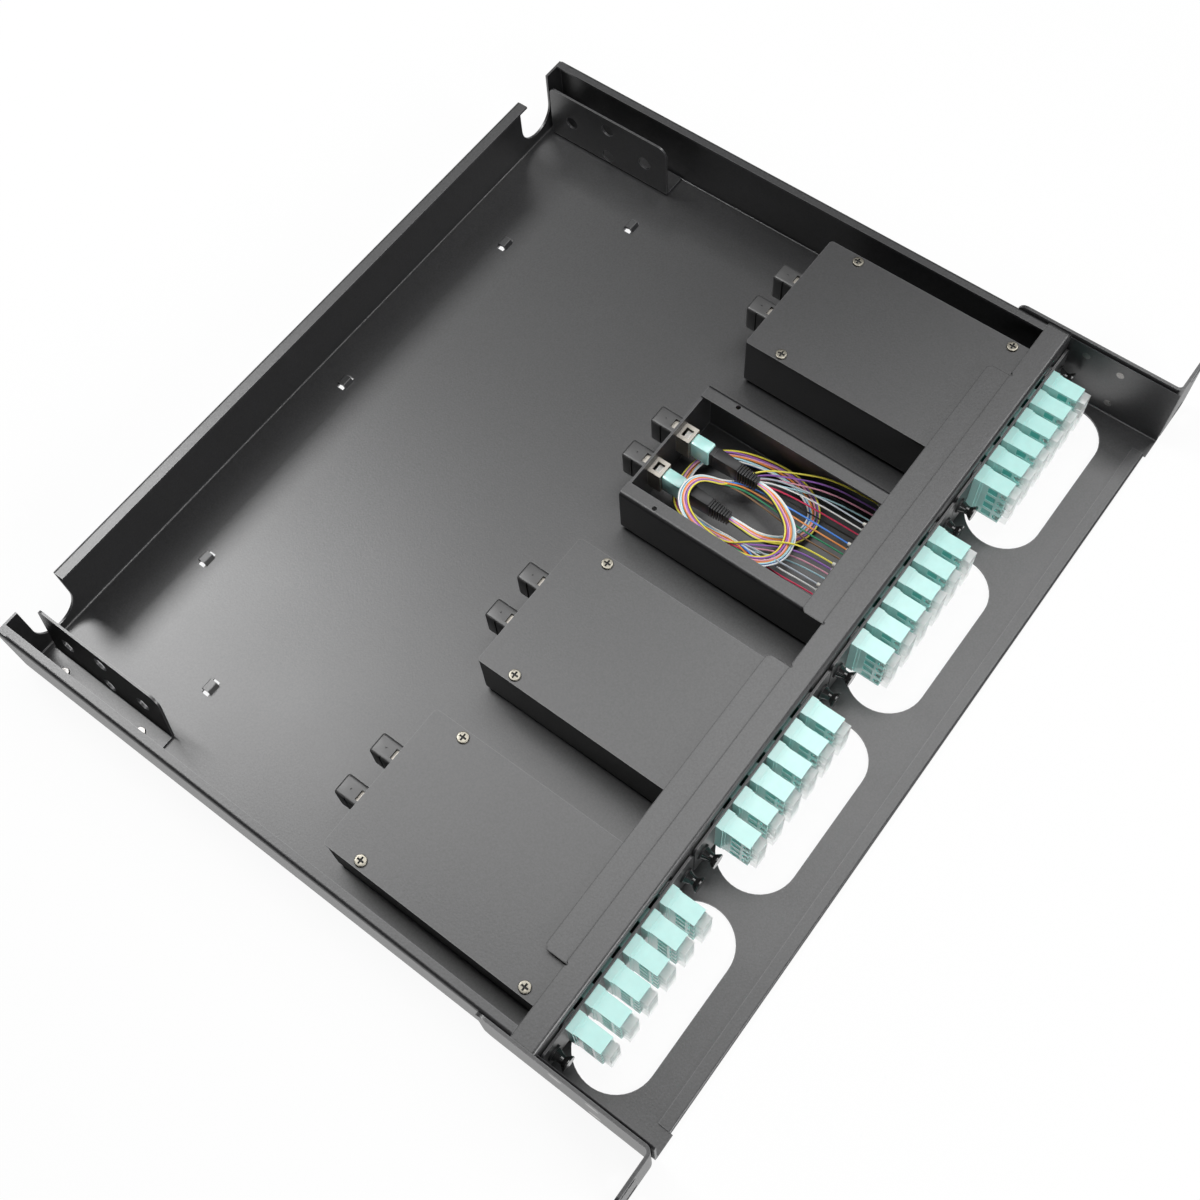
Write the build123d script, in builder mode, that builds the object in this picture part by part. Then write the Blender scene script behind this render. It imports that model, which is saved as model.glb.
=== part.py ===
from build123d import *
import math
import os

os.makedirs("parts", exist_ok=True)

# A 1U fibre distribution frame for a 19 inch rack, in millimetres.
# X runs to the right seen from the front, Y runs to the rear and Z runs up.
# The origin is the middle of the footprint, on the underside of the tray.

# Rack standard
rack_width = 482.6
rack_slot_edge = 8.75
rack_hole_spacing_z = 31.75

# Tray: one folded steel sheet, open on top
ear_reach = 26.3
body_depth = 380.0
wall_height = 42.0
sheet = 1.2
fold_radius = 2.0
side_lip = 5.5
rear_lip = 7.0
notch_width = 25.0
notch_inset = 13.0
notch_floor = 7.0
corner_relief = 2.4
hem_depth = 6.6
hem_setback = 1.0
hem_end_inset = 12.5

# Bays: four cassettes side by side
bays = 4
plate_wall_gap = 0.3
plate_to_plate_gap = 1.0
cutout_bridge = 12.6
cutout_width = 38.6
cutout_inset = 40.3

# Raised tie bridges in the floor: two pairs, inset from the sides and the rear, and one in the middle
outer_bridge_inset = 45.0
outer_bridge_rear = 81.7
inner_bridge_inset = 94.7
inner_bridge_rear = 31.8
middle_bridge_rear = 19.4
bridge_length = 9.0
bridge_strip = 6.0
bridge_depth = 6.4
bridge_rise = 2.6

# Crossbar over the front of the cassettes
bar_front_inset = 59.5
bar_width = 13.0
bar_lip = 3.2
bar_foot = 10.0
bar_tab_depth = 11.8
bar_tab_start = 13.0
bar_tab_inset = 37.0
bar_tab_chamfer = 2.0
relief_radius = 0.9

# Rack ears
rack_slot_length = 10.2
rack_slot_width = 6.8
ear_sheet = 1.6
ear_height = 43.6
ear_length = 90.0
ear_corner_radius = 5.0
flange_corner_radius = 4.0
ear_screw_places = [(49.0, 34.5), (30.0, 33.5), (30.0, 9.0)]
ear_screw_radius = 2.0
ear_screw_head_radius = 3.4

# Cable brackets beside the rear notches
bracket_inset = 16.5
bracket_length = 80.0
bracket_rear_gap = 3.8
bracket_height = 36.5
bracket_front_radius = 6.0
bracket_rear_radius = 3.5
left_bracket_lean = 4.7
tie_hole_radius = 4.0
tie_hole_places = [(15.0, 18.0), (40.0, 28.0), (40.5, 7.5), (65.5, 18.0)]
rivet_radius = 1.6
rivet_head_radius = 2.6
rivet_head_height = 0.9
rivet_inset = 8.0
rivet_end_inset = 14.0

# Cassette case
latch_wing = 15.0
case_bottom = 2.9
case_top = 36.3
case_rear_inset = 190.0
case_flange = 8.0
plate_top = 34.0
plate_wing_bottom = 5.6
plate_gap = 0.5
runner_inset = 14.0
runner_width = 4.0
runner_slope = 4.0
running_gap = 0.3

# Cassette lid and its screws
lid_overhang = 0.8
lid_length = 128.0
lid_thickness = 1.0
lid_corner_radius = 2.0
lid_screw_side_inset = 3.1
lid_screw_inset = 18.9
lid_screw_spacing_y = 90.4
lid_screw_radius = 1.25
lid_screw_head_radius = 2.9
lid_screw_head_height = 1.0
lid_screw_reach = 1.2
thread_clearance = 0.05
lid_side_gap = 0.5

# Latches: a pull plunger in a sleeve at each end of a cassette's front plate
latch_end_inset = 6.0
latch_height = 20.0
sleeve_radius = 2.9
sleeve_bore_radius = 1.7
sleeve_reach = 3.6
sleeve_slot = 0.8
collar_radius = 4.0
collar_thickness = 1.0
latch_fit = 0.1
plunger_shaft_gap = 0.08
plunger_neck_radius = 2.2
plunger_head_radius = 3.9
plunger_base_radius = 3.3
plunger_length = 7.2
plunger_waist = 1.4
plunger_rim = 0.7

# Four-port adapters in the front plate
port_columns = 6
port_side_inset = 0.775
port_rows = 4
port_pitch_z = 6.35
adapter_width = 8.8
adapter_height = 26.0
adapter_middle = 19.6
adapter_front_reach = 17.8
adapter_rear_reach = 17.0
adapter_rear_width = 7.2
adapter_collar_depth = 3.6
adapter_collar_step = 0.5
adapter_band_depth = 5.0
adapter_band_step = 0.2
adapter_fit = 0.1
port_width = 6.8
port_height = 5.0
port_depth = 9.0
latch_window_width = 3.6
latch_window_depth = 3.4
side_recess = 0.3
side_recess_height = 4.4
side_recess_span = (4.6, 9.6)

# Dust caps of the front ports
port_cap_head = 4.0
port_cap_width = 6.8
port_cap_height = 5.6
port_cap_stem = 7.0
port_cap_fit = 0.1
port_cap_tab_width = 2.6
port_cap_tab_depth = 2.6

# Fibre plugs behind the front adapters
small_plug_width = 4.6
small_plug_length = 7.5
small_boot_width = 2.4
small_boot_length = 4.5

# Rear adapters, plugs and caps
rear_port_offset = 12.0
rear_port_middle = 22.5
rear_adapter_width = 9.4
rear_adapter_height = 14.2
rear_adapter_inside = 7.5
rear_adapter_outside = 4.0
rear_flange_step = 0.6
rear_flange_thickness = 1.0
rear_bore_width = 7.4
rear_bore_height = 12.8
rear_window_width = 5.2
rear_window_length = 4.4
rear_window_inset = 1.6
rear_cap_width = 11.0
rear_cap_height = 17.0
rear_cap_length = 10.3
rear_cap_stem = 5.0
rear_cap_fit = 0.15
rear_cap_radius = 1.0
rear_cap_groove = 0.7
trunk_plug_width = 7.0
trunk_plug_height = 12.4
trunk_plug_length = 11.5
trunk_plug_reach = 5.5
trunk_body_width = 6.0
trunk_body_height = 11.4
trunk_body_length = 16.0
trunk_boot_width = 5.0
trunk_boot_height = 8.4
trunk_boot_length = 11.3
trunk_boot_taper = 4.0
boot_ribs = 8
boot_rib_height = 0.5
boot_rib_thickness = 0.7

# Fibre harness: two trunk bundles that each make a turn in the case, and a thin leg to each column of
# ports. Route points are across from the cassette's middle, back from the frame's front edge, and up.
bundle_radius = 1.7
leg_radius = 0.5
leg_spacing = 1.1
leg_straight = 6.0
leg_stub = 4.0
bend_share = 0.45
right_bundle_points = [
    (12, 136.5, 22.5), (8.8, 126.5, 21.5), (3, 117, 20), (-5, 112.5, 20), (-14, 112, 20), (-21.5, 116.5, 21),
    (-26, 124, 22.5), (-27.5, 133, 23.5), (-27.2, 143, 24.5), (-26.5, 153, 26), (-24, 161, 29),
    (-19, 166, 31.3), (-12, 167.3, 31.5), (-5.5, 165.5, 30), (0, 162, 24), (5, 158.3, 17),
]
left_bundle_points = [
    (-12, 137.2, 22.5), (-9.8, 128, 17), (-4, 120, 12), (3, 114.5, 9), (10.5, 112, 8.5), (18, 112.5, 8.5),
    (24.5, 117, 8.5), (28.5, 124.5, 8.5), (30.5, 133.5, 9), (30.3, 143, 9.5), (28.5, 152.5, 10),
    (26, 161, 10.5), (22, 169, 11), (16, 175.3, 11.5), (8, 177.5, 11.5), (0, 177.2, 11.5), (-8, 175.5, 11.5),
    (-14.5, 171, 11.5), (-18, 163.5, 12), (-19, 154.5, 12.5), (-18.5, 145.5, 13), (-17.5, 138, 13),
]
right_leg_points = [
    [(9, 150, 15.2), (9, 138, 15.4), (8, 124, 15.8), (6.8, 112, 16.6)],
    [(13, 150, 13.6), (18.5, 141, 14.4), (20.2, 127, 15.4), (19.8, 112, 18)],
    [(14, 152, 12.6), (21.5, 145.5, 13.4), (27, 132, 14.6), (31.5, 114, 18.5)],
]
left_leg_points = [
    [(-19, 129, 12), (-24, 119, 12), (-30.5, 108, 13)],
    [(-17.5, 129, 13), (-18.5, 119, 13.5), (-19.5, 108, 14.5)],
    [(-15.5, 129, 14), (-10.5, 119, 14.5), (-7, 108, 15.5)],
]
right_leg_row = 2
left_leg_row = 1

# Places that follow from the sizes above
overcut = 1.0
body_width = rack_width - 2 * ear_reach
half_width = body_width / 2
wall_inside = half_width - sheet
lip_inside = half_width - side_lip
floor_edge = half_width - fold_radius
front = -body_depth / 2
rear = body_depth / 2
bar_front = front + bar_front_inset
bar_rear = bar_front + bar_width
bar_underside = wall_height - sheet
bar_tab_end = half_width - bar_tab_inset
window_top = wall_height - bar_lip
plate_rear = bar_front - plate_gap
plate_front = plate_rear - sheet
notch_x = half_width - notch_inset - notch_width / 2
hem_half_length = half_width - hem_end_inset
bay_pitch = (2 * (wall_inside - plate_wall_gap) + plate_to_plate_gap) / bays
plate_width = bay_pitch - plate_to_plate_gap
cutout_length = bay_pitch - cutout_bridge
case_rear = front + case_rear_inset
case_width = plate_width - 2 * latch_wing
latch_offset = plate_width / 2 - latch_end_inset
lid_width = case_width + 2 * lid_overhang
lid_screw_spacing_x = case_width - 2 * lid_screw_side_inset
port_pitch_x = (case_width - 2 * port_side_inset - adapter_width) / (port_columns - 1)
runner_offset = case_width / 2 - runner_inset
case_half = case_width / 2
case_inside = case_half - sheet
window_half = lid_width / 2 + lid_side_gap
lid_top = case_top + lid_thickness
lid_rear = case_rear
lid_middle = lid_rear - lid_length / 2
lid_screw_middle = lid_rear - lid_screw_inset - lid_screw_spacing_y / 2
leg_hole_radius = sleeve_radius + latch_fit
bracket_rear = rear - sheet - bracket_rear_gap
bracket_front = bracket_rear - bracket_length
bracket_x = half_width - bracket_inset
adapter_front = plate_front - adapter_front_reach
adapter_rear = plate_rear + adapter_rear_reach
small_plug_rear = adapter_rear + small_plug_length + small_boot_length
rear_adapter_front = case_rear - sheet - rear_adapter_inside
rear_adapter_end = case_rear + rear_adapter_outside
trunk_plug_front = rear_adapter_front - trunk_plug_length
trunk_body_front = trunk_plug_front - trunk_body_length
trunk_boot_front = trunk_body_front - trunk_boot_length
bay_centres = [(bay - (bays - 1) / 2) * bay_pitch for bay in range(bays)]
bridge_places = [
    (outer_bridge_inset - half_width, rear - outer_bridge_rear),
    (half_width - outer_bridge_inset, rear - outer_bridge_rear),
    (inner_bridge_inset - half_width, rear - inner_bridge_rear),
    (half_width - inner_bridge_inset, rear - inner_bridge_rear),
    (0, rear - middle_bridge_rear),
]
column_centres = [(column - (port_columns - 1) / 2) * port_pitch_x for column in range(port_columns)]
row_centres = [adapter_middle + (row - (port_rows - 1) / 2) * port_pitch_z for row in range(port_rows)]
open_bay = 2


def block(x_span, y_span, z_span, mode=Mode.ADD):
    """A rectangular block between two corners, joined to or cut from the part being built."""
    spans = (x_span, y_span, z_span)
    middle = [(low + high) / 2 for low, high in spans]
    size = [high - low for low, high in spans]
    with Locations(tuple(middle)):
        Box(*size, mode=mode)


def folded(plane, corners, thickness, radius, side):
    """The section of a sheet folded along its outer corners, with the metal on one side of them."""
    with BuildSketch(plane) as section:
        with BuildLine():
            outer = FilletPolyline(*corners, radius=radius)
            offset(outer, amount=thickness, side=side)
        make_face()
    return section.sketch


def cylinder_along_y(x, y_start, z, radius, length, mode=Mode.ADD):
    """A round bar or hole that starts at y_start and runs towards the rear."""
    with BuildSketch(Plane.XZ.offset(-y_start)) as section:
        with Locations((x, z)):
            Circle(radius)
    extrude(section.sketch, amount=-length, mode=mode)


def save(piece, label):
    """Name a finished piece and write it."""
    piece.label = label
    export_step(piece, f"parts/{label}.step")


# Base tray: floor, side walls with lips, rear wall, hem, cut-outs and pressed features
with BuildPart() as base_tray:
    channel_corners = [
        (-lip_inside, wall_height),
        (-half_width, wall_height),
        (-half_width, 0),
        (half_width, 0),
        (half_width, wall_height),
        (lip_inside, wall_height),
    ]
    extrude(folded(Plane.XZ.offset(-rear), channel_corners, sheet, fold_radius, Side.LEFT), amount=body_depth)

    # The rear wall stands between the side walls and folds forward at its top
    block((-floor_edge, floor_edge), (rear - fold_radius, rear + overcut), (-overcut, sheet), Mode.SUBTRACT)
    wall_corners = [
        (rear - 2 * fold_radius, 0),
        (rear, 0),
        (rear, wall_height),
        (rear - rear_lip, wall_height),
    ]
    wall_section = folded(Plane.YZ.offset(-wall_inside), wall_corners, sheet, fold_radius, Side.LEFT)
    extrude(wall_section, amount=2 * wall_inside)

    # A round-bottomed cable notch near each rear corner. The stub outside it has no lip
    with BuildSketch(Plane.XZ.offset(-rear - overcut)):
        with Locations((-notch_x, notch_floor + wall_height), (notch_x, notch_floor + wall_height)):
            SlotOverall(2 * wall_height, notch_width, rotation=90)
    extrude(amount=rear_lip + 2 * overcut, mode=Mode.SUBTRACT)
    lip_zone_z = (wall_height - fold_radius, wall_height + overcut)
    for side in (-1, 1):
        stub = sorted((side * notch_x, side * lip_inside))
        block(stub, (rear - rear_lip - overcut, rear + overcut), lip_zone_z, Mode.SUBTRACT)
        corner = sorted((side * notch_x, side * (half_width + overcut)))
        block(corner, (rear - corner_relief, rear + overcut), lip_zone_z, Mode.SUBTRACT)

    # In front of the crossbar the side walls carry no lip, and under it they end one sheet lower
    for side in (-1, 1):
        lip = sorted((side * (lip_inside - overcut), side * wall_inside))
        block(lip, (front - overcut, bar_rear), lip_zone_z, Mode.SUBTRACT)
    seat_z = (bar_underside, wall_height + overcut)
    block((-half_width - overcut, half_width + overcut), (bar_front, bar_rear), seat_z, Mode.SUBTRACT)

    # The front edge of the floor is folded back on itself
    nose_y = front + hem_setback + sheet
    hem_rear = front + hem_setback + hem_depth
    hem_span = (-hem_half_length, hem_half_length)
    block(hem_span, (front - overcut, nose_y), (-overcut, sheet + overcut), Mode.SUBTRACT)
    with BuildSketch(Plane.YZ):
        with Locations((nose_y, sheet)):
            Circle(sheet)
    extrude(amount=hem_half_length, both=True)
    block(hem_span, (nose_y, hem_rear), (sheet, 2 * sheet))

    # A finger cut-out under each row of front ports
    with BuildSketch(Plane.XY.offset(-overcut)):
        with Locations(*[(x, front + cutout_inset) for x in bay_centres]):
            SlotOverall(cutout_length, cutout_width)
    extrude(amount=sheet + 2 * overcut, mode=Mode.SUBTRACT)

    # Holes for the ear screws in both side walls
    with BuildSketch(Plane.YZ.offset(-half_width - overcut)):
        with Locations(*[(front + y, z) for y, z in ear_screw_places]):
            Circle(ear_screw_radius + thread_clearance)
    extrude(amount=body_width + 2 * overcut, mode=Mode.SUBTRACT)

    # Tie bridges: a strip of the floor pressed up, open at both ends
    with BuildSketch(Plane.XY.offset(-overcut)):
        with Locations(*bridge_places):
            Rectangle(bridge_length, bridge_depth - 2 * sheet)
    extrude(amount=sheet + 2 * overcut, mode=Mode.SUBTRACT)
    for x, y in bridge_places:
        foot = bridge_depth / 2
        shoulder = foot - bridge_rise / 2
        arch_corners = [
            (y - foot, sheet),
            (y - shoulder, sheet + bridge_rise),
            (y + shoulder, sheet + bridge_rise),
            (y + foot, sheet),
        ]
        arch = folded(Plane.YZ.offset(x - bridge_strip / 2), arch_corners, sheet, sheet / 2, Side.RIGHT)
        extrude(arch, amount=bridge_strip)

    # Two pressed runners carry each cassette
    runner_top = case_bottom - running_gap
    for x in bay_centres:
        for side in (-1, 1):
            runner_x = x + side * runner_offset - runner_width / 2
            with BuildSketch(Plane.YZ.offset(runner_x)):
                with BuildLine():
                    Polyline(
                        (bar_front, sheet),
                        (bar_front + runner_slope, runner_top),
                        (case_rear - runner_slope, runner_top),
                        (case_rear, sheet),
                        close=True,
                    )
                make_face()
            extrude(amount=runner_width)

    # Rivet holes of the cable brackets
    rivet_ends = (bracket_front + rivet_end_inset, bracket_rear - rivet_end_inset)
    rivet_places = [(side * (half_width - rivet_inset), y) for side in (-1, 1) for y in rivet_ends]
    with BuildSketch(Plane.XY.offset(-overcut)):
        with Locations(*rivet_places):
            Circle(rivet_radius)
    extrude(amount=sheet + 2 * overcut, mode=Mode.SUBTRACT)
save(base_tray.part, "base_tray")


# Crossbar: a top strip on five legs, with a window for each cassette and a lowered rear tab
with BuildPart() as front_crossbar:
    bar_corners = [
        (bar_front + bar_foot, sheet),
        (bar_front, sheet),
        (bar_front, wall_height),
        (bar_rear, wall_height),
    ]
    bar_section = folded(Plane.YZ, bar_corners, sheet, fold_radius, Side.RIGHT)
    extrude(bar_section, amount=half_width, both=True)
    bar_zone_y = (bar_front - overcut, bar_front + bar_foot + overcut)
    for x in bay_centres:
        block((x - window_half, x + window_half), bar_zone_y, (0, window_top), Mode.SUBTRACT)
    for side in (-1, 1):
        outside = sorted((side * floor_edge, side * (half_width + overcut)))
        block(outside, bar_zone_y, (0, bar_underside), Mode.SUBTRACT)

    # End flanges lie against the side walls
    for side in (-1, 1):
        flange_x = sorted((side * (wall_inside - sheet), side * wall_inside))
        block(flange_x, (bar_front, bar_rear), (fold_radius + sheet, bar_underside))

    # The rear tabs sit one sheet lower, so that a cover could lie flush on them
    for side in (-1, 1):
        tab_ends = sorted((side * bar_tab_start, side * bar_tab_end))
        tab_rear = bar_rear + bar_tab_depth
        with BuildSketch(Plane.XY.offset(bar_underside - sheet)):
            with BuildLine():
                Polyline(
                    (tab_ends[0], bar_rear - 2 * sheet),
                    (tab_ends[1], bar_rear - 2 * sheet),
                    (tab_ends[1], tab_rear - bar_tab_chamfer),
                    (tab_ends[1] - bar_tab_chamfer, tab_rear),
                    (tab_ends[0] + bar_tab_chamfer, tab_rear),
                    (tab_ends[0], tab_rear - bar_tab_chamfer),
                    close=True,
                )
            make_face()
        extrude(amount=sheet)
    relief_places = [(side * x, bar_rear) for side in (-1, 1) for x in (bar_tab_start, bar_tab_end)]
    with BuildSketch(Plane.XY.offset(bar_underside)):
        with Locations(*relief_places):
            Circle(relief_radius)
    extrude(amount=sheet + overcut, mode=Mode.SUBTRACT)

    # Each leg has a hole for the latch sleeves beside it
    for x in bay_centres:
        for side in (-1, 1):
            hole_x = x + side * latch_offset
            cylinder_along_y(hole_x, bar_front - overcut, latch_height, leg_hole_radius,
                             sheet + 2 * overcut, Mode.SUBTRACT)
save(front_crossbar.part, "front_crossbar")


# Rack ear: side plate outside the wall, folded outwards at the front into a slotted flange
ear_tip = rack_width / 2
with BuildPart() as rack_ear_right:
    ear_corners = [(half_width, front + ear_length), (half_width, front), (ear_tip, front)]
    extrude(folded(Plane.XY, ear_corners, ear_sheet, fold_radius + ear_sheet, Side.LEFT), amount=ear_height)
    fillet(rack_ear_right.edges().filter_by(Axis.X).group_by(Axis.Y)[-1], ear_corner_radius)
    fillet(rack_ear_right.edges().filter_by(Axis.Y).group_by(Axis.X)[-1], flange_corner_radius)
    with BuildSketch(Plane.XZ.offset(-front + overcut)):
        with Locations((ear_tip - rack_slot_edge, ear_height / 2)):
            with GridLocations(0, rack_hole_spacing_z, 1, 2):
                SlotOverall(rack_slot_length, rack_slot_width)
    extrude(amount=-ear_sheet - 2 * overcut, mode=Mode.SUBTRACT)
    with Locations(Plane.YZ.offset(half_width + ear_sheet)):
        with Locations(*[(front + y, z) for y, z in ear_screw_places]):
            CounterSinkHole(ear_screw_radius + thread_clearance, ear_screw_head_radius + thread_clearance,
                            depth=ear_sheet, counter_sink_angle=90)
save(rack_ear_right.part, "rack_ear_right")

with BuildPart() as rack_ear_left:
    mirror(rack_ear_right.part, about=Plane.YZ)
save(rack_ear_left.part, "rack_ear_left")


# Ear screws: countersunk, flush with the outside of the ears and the inside of the walls
with BuildPart() as ear_screws_right:
    screw_places = [(front + y, z) for y, z in ear_screw_places]
    head_depth = ear_screw_head_radius - ear_screw_radius
    with BuildSketch(Plane.YZ.offset(wall_inside)):
        with Locations(*screw_places):
            Circle(ear_screw_radius)
    extrude(amount=sheet + ear_sheet - head_depth)
    with BuildSketch(Plane.YZ.offset(half_width + ear_sheet - head_depth)):
        with Locations(*screw_places):
            Circle(ear_screw_radius)
    extrude(amount=head_depth, taper=-45)

with BuildPart() as ear_screws:
    add(ear_screws_right.part)
    mirror(ear_screws_right.part, about=Plane.YZ)
save(ear_screws.part, "ear_screws")


def cable_bracket(side, lean):
    """An upright plate with tie holes on a riveted foot. The lean moves the top of the plate inwards."""
    plate_x = side * bracket_x
    top_x = plate_x - side * lean
    corners = [(side * floor_edge, sheet), (plate_x, sheet), (top_x, bracket_height + overcut)]
    metal_side = Side.RIGHT if side > 0 else Side.LEFT
    section = folded(Plane.XZ.offset(-bracket_rear), corners, sheet, fold_radius, metal_side)
    extrude(section, amount=bracket_length)
    with BuildSketch(Plane.YZ) as outline:
        with BuildLine():
            FilletPolyline(
                (bracket_front, 0),
                (bracket_front, bracket_height),
                (bracket_rear, bracket_height),
                (bracket_rear, 0),
                radius=[bracket_front_radius, bracket_rear_radius],
            )
            Line((bracket_rear, 0), (bracket_front, 0))
        make_face()
    extrude(outline.sketch, amount=half_width, both=True, mode=Mode.INTERSECT)
    with BuildSketch(Plane.YZ.offset(plate_x)) as tie_holes:
        with Locations(*[(bracket_front + y, z) for y, z in tie_hole_places]):
            Circle(tie_hole_radius)
    extrude(tie_holes.sketch, amount=lean + sheet + overcut, both=True, mode=Mode.SUBTRACT)
    with BuildSketch(Plane.XY) as rivet_holes:
        with Locations(*[(side * (half_width - rivet_inset), y) for y in rivet_ends]):
            Circle(rivet_radius)
    extrude(rivet_holes.sketch, amount=2 * sheet + overcut, mode=Mode.SUBTRACT)


# Cable brackets: the left plate leans inwards, as in the photograph
with BuildPart() as cable_bracket_right:
    cable_bracket(1, 0)
save(cable_bracket_right.part, "cable_bracket_right")

with BuildPart() as cable_bracket_left:
    cable_bracket(-1, left_bracket_lean)
save(cable_bracket_left.part, "cable_bracket_left")

with BuildPart() as bracket_rivets:
    with BuildSketch(Plane.XY):
        with Locations(*rivet_places):
            Circle(rivet_radius)
    extrude(amount=2 * sheet)
    with BuildSketch(Plane.XY.offset(2 * sheet)):
        with Locations(*rivet_places):
            Circle(rivet_head_radius)
    extrude(amount=rivet_head_height, taper=20)
save(bracket_rivets.part, "bracket_rivets")


# Cassette case, drawn at the middle of the frame: a channel with a rear wall and a wide front plate
with BuildPart() as case:
    case_corners = [
        (case_flange - case_half, case_top),
        (-case_half, case_top),
        (-case_half, case_bottom),
        (case_half, case_bottom),
        (case_half, case_top),
        (case_half - case_flange, case_top),
    ]
    case_section = folded(Plane.XZ.offset(-case_rear), case_corners, sheet, fold_radius, Side.LEFT)
    extrude(case_section, amount=case_rear - plate_rear)
    block((-case_inside, case_inside), (case_rear - sheet, case_rear), (case_bottom, case_top - sheet))
    with BuildSketch(Plane.XZ.offset(-plate_front)):
        with Locations((0, (plate_wing_bottom + plate_top) / 2)):
            RectangleRounded(plate_width, plate_top - plate_wing_bottom, fold_radius)
        with Locations((0, (case_bottom + plate_top) / 2)):
            Rectangle(case_width - 2 * fold_radius, plate_top - case_bottom)
        with Locations(*[(x, adapter_middle) for x in column_centres]):
            Rectangle(adapter_width + 2 * adapter_fit, adapter_height + 2 * adapter_fit, mode=Mode.SUBTRACT)
        with Locations((-latch_offset, latch_height), (latch_offset, latch_height)):
            Circle(sleeve_radius, mode=Mode.SUBTRACT)
    extrude(amount=-sheet)
    with BuildSketch(Plane.XZ.offset(-case_rear - overcut)):
        with Locations((-rear_port_offset, rear_port_middle), (rear_port_offset, rear_port_middle)):
            Rectangle(rear_adapter_width + 2 * adapter_fit, rear_adapter_height + 2 * adapter_fit)
    extrude(amount=sheet + 2 * overcut, mode=Mode.SUBTRACT)
    with BuildSketch(Plane.XY.offset(case_top - sheet - overcut)):
        with Locations((0, lid_screw_middle)):
            with GridLocations(lid_screw_spacing_x, lid_screw_spacing_y, 2, 2):
                Circle(lid_screw_radius + thread_clearance)
    extrude(amount=sheet + 2 * overcut, mode=Mode.SUBTRACT)

# Lid: a flat plate on the case's flanges
with BuildPart() as lid:
    with BuildSketch(Plane.XY.offset(case_top)):
        with Locations((0, lid_middle)):
            RectangleRounded(lid_width, lid_length, lid_corner_radius)
        with Locations((0, lid_screw_middle)):
            with GridLocations(lid_screw_spacing_x, lid_screw_spacing_y, 2, 2):
                Circle(lid_screw_radius + thread_clearance, mode=Mode.SUBTRACT)
    extrude(amount=lid_thickness)

# Lid screws: flat round heads
with BuildPart() as lid_screws:
    with BuildSketch(Plane.XY.offset(case_top - sheet - lid_screw_reach)):
        with Locations((0, lid_screw_middle)):
            with GridLocations(lid_screw_spacing_x, lid_screw_spacing_y, 2, 2):
                Circle(lid_screw_radius)
    extrude(amount=lid_screw_reach + sheet + lid_thickness)
    with BuildSketch(Plane.XY.offset(lid_top)):
        with Locations((0, lid_screw_middle)):
            with GridLocations(lid_screw_spacing_x, lid_screw_spacing_y, 2, 2):
                Circle(lid_screw_head_radius)
    extrude(amount=lid_screw_head_height)

# Latch sleeves: a collar on the plate and a split tube that reaches through the crossbar's leg
with BuildPart() as latch_sleeves:
    for side in (-1, 1):
        sleeve_x = side * latch_offset
        sleeve_end = bar_front + sheet + sleeve_reach
        collar_front = plate_front - collar_thickness
        cylinder_along_y(sleeve_x, collar_front, latch_height, collar_radius, collar_thickness)
        cylinder_along_y(sleeve_x, plate_front, latch_height, sleeve_radius, sleeve_end - plate_front)
        cylinder_along_y(sleeve_x, collar_front - overcut, latch_height, sleeve_bore_radius,
                         sleeve_end - collar_front + 2 * overcut, Mode.SUBTRACT)
        slot_z = (latch_height - sleeve_slot / 2, latch_height + sleeve_slot / 2)
        slot_x = (sleeve_x - collar_radius, sleeve_x + collar_radius)
        block(slot_x, (bar_front + sheet, sleeve_end + overcut), slot_z, Mode.SUBTRACT)

# Plunger: a flared knob on a shaft, turned about its own axis at the middle of the frame
plunger_face = plate_front - collar_thickness
plunger_end = bar_front + sheet + sleeve_reach
plunger_front = plunger_face - plunger_length
waist_y = plunger_face - plunger_length / 2
with BuildPart() as plunger:
    with BuildSketch(Plane.XY):
        with BuildLine():
            Polyline(
                (0, plunger_end),
                (sleeve_bore_radius - plunger_shaft_gap, plunger_end),
                (sleeve_bore_radius - plunger_shaft_gap, plunger_face),
                (plunger_base_radius, plunger_face),
                (plunger_neck_radius, waist_y + plunger_waist / 2),
                (plunger_neck_radius, waist_y - plunger_waist / 2),
                (plunger_head_radius, plunger_front + plunger_rim),
                (plunger_head_radius, plunger_front),
                (0, plunger_front),
                close=True,
            )
        make_face()
    revolve(axis=Axis.Y)

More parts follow.
